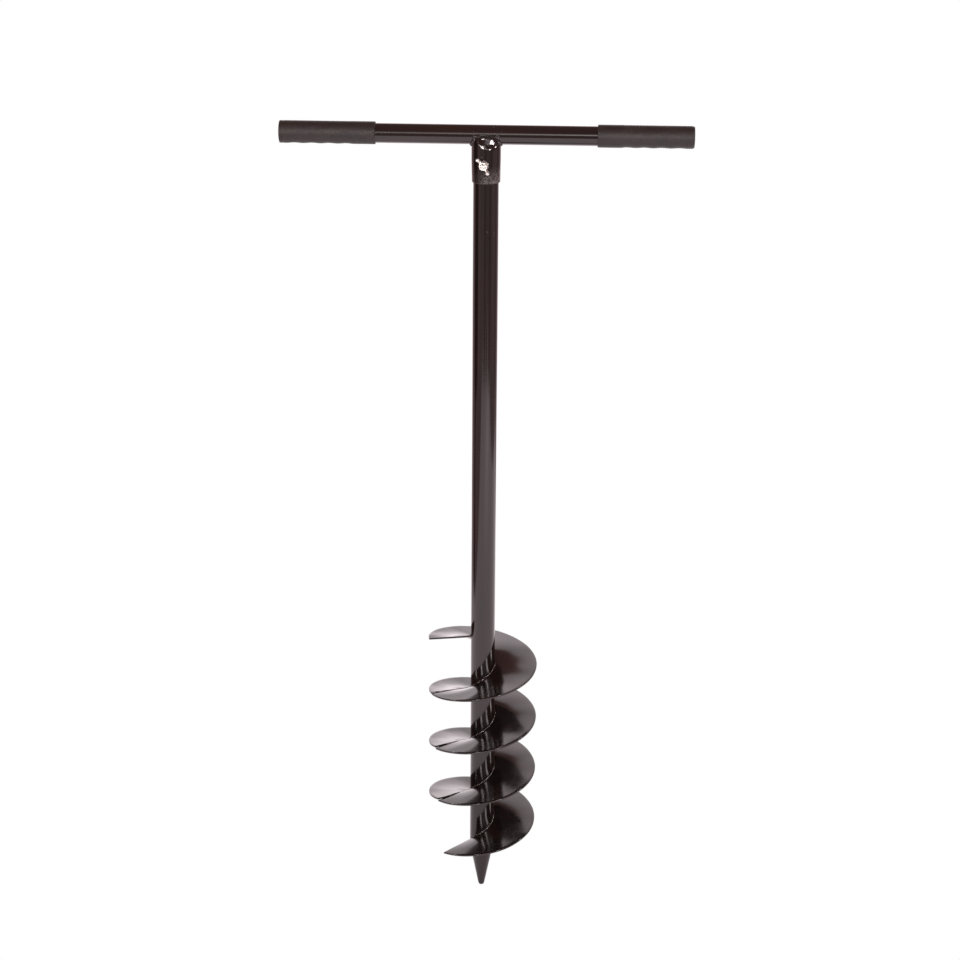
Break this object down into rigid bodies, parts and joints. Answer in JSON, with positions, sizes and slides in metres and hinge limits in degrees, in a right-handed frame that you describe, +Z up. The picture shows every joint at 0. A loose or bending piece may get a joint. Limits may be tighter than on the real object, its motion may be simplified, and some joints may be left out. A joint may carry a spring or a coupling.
{
  "type": "hand earth auger",
  "caption": "Hand auger with a T-handle, a long tube shaft, helical welded flighting and a plain cone point; the handle is held on by a cross bolt with a wing nut.",
  "frame": {"origin": "tip of the cone point, at the bottom centre of the whole object", "axes": "+Z up the shaft to the handle, X along the crossbar, the wing nut on the -Y side, its bolt 6 degrees out of square with the crossbar"},
  "size_m": [0.525, 0.15, 1.0955],
  "materials": {
    "black_enamel": "gloss",
    "grip_rubber": "matt, finely ribbed",
    "zinc_plate": "bright zinc plate"
  },
  "bodies": {
    "auger": {"shaft_tube": "black_enamel", "pilot_point": "black_enamel", "point_weld": "black_enamel", "flight_1": "black_enamel", "flight_2": "black_enamel", "flight_3": "black_enamel", "flight_4": "black_enamel", "flight_weld_1": "black_enamel", "flight_weld_2": "black_enamel", "flight_weld_3": "black_enamel", "flight_weld_4": "black_enamel", "seam_weld_1": "black_enamel", "seam_weld_2": "black_enamel", "seam_weld_3": "black_enamel", "handle_socket": "black_enamel", "handle_bar": "black_enamel", "socket_weld": "black_enamel", "left_grip": "grip_rubber", "right_grip": "grip_rubber", "lock_bolt": "zinc_plate", "head_washer": "zinc_plate"},
    "nut_washer": {"nut_washer": "zinc_plate"},
    "wing_nut": {"wing_nut": "zinc_plate"}
  },
  "joints": [
    {"name": "nut_travel", "type": "slide", "parent": "auger", "child": "nut_washer", "axis": [-0.1045, -0.9945, 0], "range_m": [0, 0.00525]},
    {"name": "nut_turn", "type": "hinge", "parent": "nut_washer", "child": "wing_nut", "pos_m": [-0.00216, -0.02059, 1.045], "axis": [-0.1045, -0.9945, 0], "range_deg": [0, 1890.5]}
  ],
  "couplings": [
    {"joint": "nut_turn", "follows": "nut_travel", "rad_per_m": 6283.2}
  ]
}
